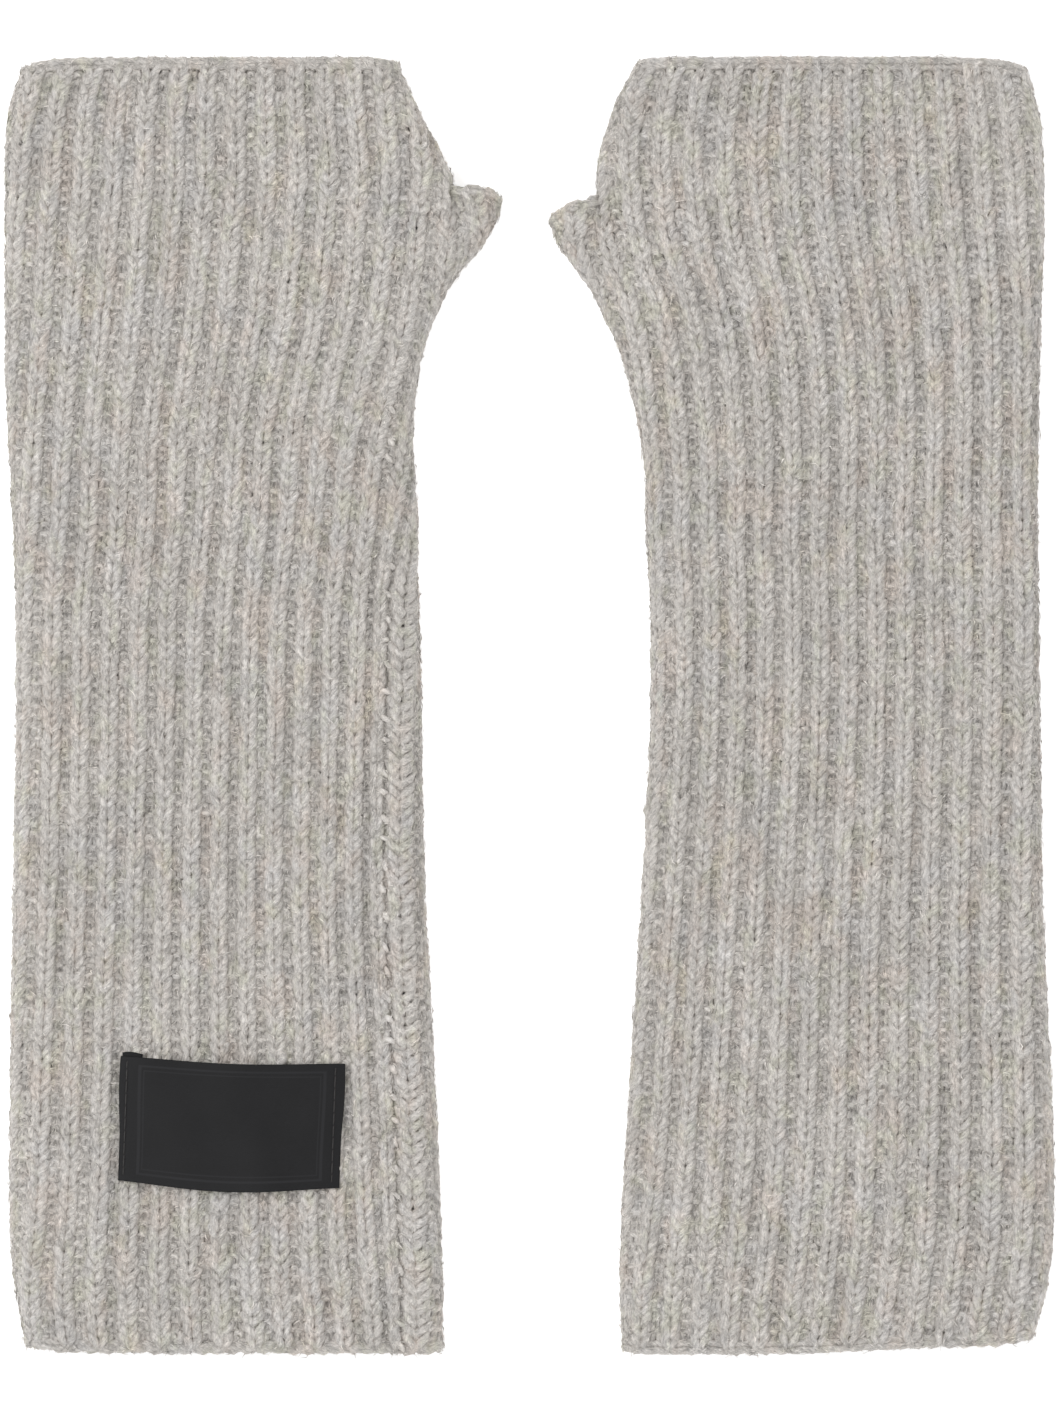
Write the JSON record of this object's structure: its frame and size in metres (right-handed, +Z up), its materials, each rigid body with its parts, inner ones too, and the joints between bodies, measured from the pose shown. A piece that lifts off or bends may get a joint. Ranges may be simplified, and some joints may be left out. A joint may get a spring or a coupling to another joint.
{
  "type": "fingerless gloves",
  "caption": "Pair of long rib-knit fingerless gloves laid flat, thumbs inward, the left with a plain black label sewn on near the cuff.",
  "frame": {"origin": "On the table under the middle of the pair: half way between the outermost edges in X and between the cuff and finger edges in Y.", "axes": "+X towards the right-hand glove, +Y from the cuffs to the finger openings, +Z up, out of the table."},
  "size_m": [0.2588, 0.32, 0.0155],
  "materials": {
    "rib_wool": "light grey melange wool, 1x1 rib, lightly brushed",
    "seam_yarn": "pale grey wool linking yarn",
    "label_satin": "black woven satin, dull sheen",
    "sewing_thread": "black polyester thread",
    "care_satin": "white satin, blank"
  },
  "bodies": {
    "left_forearm": {"left_forearm_knit": "rib_wool", "left_forearm_seam_yarn": "seam_yarn", "sewn_label": "label_satin", "label_stitching_left": "sewing_thread", "label_stitching_right": "sewing_thread", "care_label": "care_satin"},
    "left_hand": {"left_hand_knit": "rib_wool", "left_hand_seam_yarn": "seam_yarn", "left_upper_seam_yarn": "seam_yarn"},
    "left_thumb": {"left_thumb_knit": "rib_wool"},
    "right_forearm": {"right_forearm_knit": "rib_wool", "right_forearm_seam_yarn": "seam_yarn"},
    "right_hand": {"right_hand_knit": "rib_wool", "right_hand_seam_yarn": "seam_yarn", "right_upper_seam_yarn": "seam_yarn"},
    "right_thumb": {"right_thumb_knit": "rib_wool"}
  },
  "joints": [
    {"name": "left_wrist_fold", "type": "hinge", "parent": "left_forearm", "child": "left_hand", "pos_m": [-0.077, 0.044, 0.013], "axis": [1, 0, 0], "range_deg": [0, 150]},
    {"name": "left_thumb_fold", "type": "hinge", "parent": "left_hand", "child": "left_thumb", "pos_m": [-0.01785, 0.116, 0.013], "axis": [0, -1, 0], "range_deg": [0, 150]},
    {"name": "right_glove_lift", "type": "slide", "parent": "left_forearm", "child": "right_forearm", "axis": [0, 0, 1], "range_m": [0, 0.1]},
    {"name": "right_wrist_fold", "type": "hinge", "parent": "right_forearm", "child": "right_hand", "pos_m": [0.077, 0.044, 0.013], "axis": [1, 0, 0], "range_deg": [0, 150]},
    {"name": "right_thumb_fold", "type": "hinge", "parent": "right_hand", "child": "right_thumb", "pos_m": [0.01785, 0.112, 0.013], "axis": [0, 1, 0], "range_deg": [0, 150]}
  ]
}
